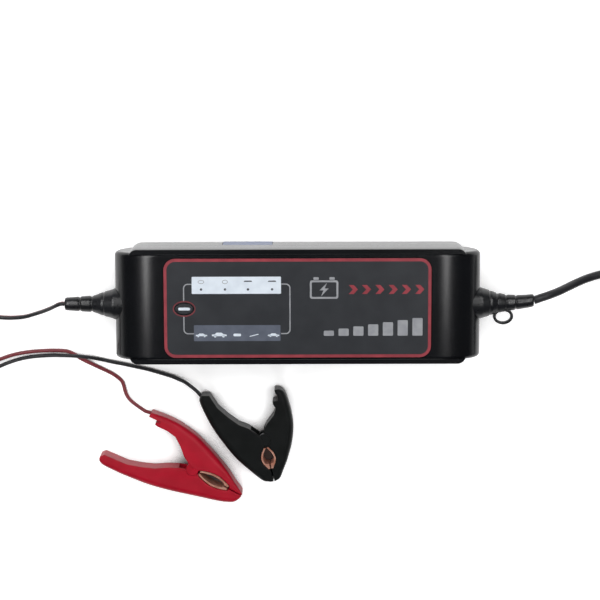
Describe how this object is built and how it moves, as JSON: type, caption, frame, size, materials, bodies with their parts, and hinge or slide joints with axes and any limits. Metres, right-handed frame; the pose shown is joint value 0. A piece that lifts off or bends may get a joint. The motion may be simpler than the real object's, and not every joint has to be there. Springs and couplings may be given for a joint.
{
  "type": "car battery charger",
  "caption": "Small moulded car battery charger with a label panel and push button, a mains lead with a plug, and two sprung clamps on thin output wires.",
  "frame": {"origin": "middle of the case's flat back, on the surface that the charger lies on", "axes": "+X along the case towards the mains lead, +Y across the case away from the clamps, +Z out of the label face"},
  "size_m": [0.4915, 0.1448, 0.0374],
  "materials": {
    "case_black": "satin moulded ABS",
    "label_grey": "satin printed film",
    "sticker_blue": "matt printed film",
    "steel": "plain steel",
    "chip_black": "matt moulded epoxy",
    "board_green": "solder mask",
    "clear_plastic": "clear gloss",
    "ferrite": "ground ferrite",
    "winding_amber": "taped",
    "sleeve_blue": "shrunk sleeve",
    "aluminium": "extruded",
    "boot_black": "soft moulded PVC",
    "cord_black": "extruded PVC",
    "wire_red": "extruded PVC",
    "tie_black": "hook and loop band",
    "clamp_red": "gloss moulded polypropylene",
    "clamp_black": "gloss moulded polypropylene",
    "jaw_copper": "copper-plated steel"
  },
  "bodies": {
    "root": {"front_shell": "case_black", "rear_shell": "case_black", "label_overlay": "label_grey", "side_sticker": "sticker_blue", "case_screw_1": "steel", "case_screw_2": "steel", "case_screw_3": "steel", "case_screw_4": "steel", "plug_pin_1": "steel", "plug_pin_2": "steel", "red_clamp_pin": "steel", "black_clamp_pin": "steel", "red_clamp_spring": "steel", "black_clamp_spring": "steel", "switch_body": "chip_black", "bridge_rectifier": "chip_black", "power_transistor": "chip_black", "output_rectifier": "chip_black", "optocoupler": "chip_black", "controller_chip": "chip_black", "main_board": "board_green", "indicator_board": "board_green", "led_1": "clear_plastic", "led_2": "clear_plastic", "led_3": "clear_plastic", "led_4": "clear_plastic", "light_bar": "clear_plastic", "mains_fuse": "clear_plastic", "transformer_core": "ferrite", "transformer_winding": "winding_amber", "filter_capacitor": "winding_amber", "mains_choke": "winding_amber", "input_capacitor": "sleeve_blue", "output_capacitor_1": "sleeve_blue", "output_capacitor_2": "sleeve_blue", "heatsink": "aluminium", "dc_strain_relief": "boot_black", "mains_strain_relief": "boot_black", "plug_body": "boot_black", "mains_lead": "cord_black", "mains_coil": "cord_black", "mains_tail": "cord_black", "black_wire_lead": "cord_black", "black_wire_coil": "cord_black", "black_wire_tail": "cord_black", "red_wire_lead": "wire_red", "red_wire_coil": "wire_red", "red_wire_tail": "wire_red", "mains_tie": "tie_black", "output_tie": "tie_black", "red_clamp_cable_arm": "clamp_red", "black_clamp_cable_arm": "clamp_black", "red_clamp_cable_arm_jaw": "jaw_copper", "black_clamp_cable_arm_jaw": "jaw_copper"},
    "button": {"mode_button": "label_grey", "switch_plunger": "chip_black"},
    "red_free_arm": {"red_clamp_free_arm": "clamp_red", "red_clamp_free_arm_jaw": "jaw_copper"},
    "black_free_arm": {"black_clamp_free_arm": "clamp_black", "black_clamp_free_arm_jaw": "jaw_copper"}
  },
  "joints": [
    {"name": "button_press", "type": "slide", "parent": "root", "child": "button", "axis": [0, 0, -1], "range_m": [0, 0.0006], "stiffness_N_per_m": 500, "springref_m": -0.0004},
    {"name": "red_clamp_open", "type": "hinge", "parent": "root", "child": "red_free_arm", "pos_m": [-0.0579, -0.0934, 0.00625], "axis": [0, 0, -1], "range_deg": [0, 34], "stiffness_Nm_per_rad": 0.3, "springref_deg": -8.59},
    {"name": "black_clamp_open", "type": "hinge", "parent": "root", "child": "black_free_arm", "pos_m": [-0.0185, -0.0773, 0.00625], "axis": [0, 0, 1], "range_deg": [0, 34], "stiffness_Nm_per_rad": 0.3, "springref_deg": -8.59}
  ]
}
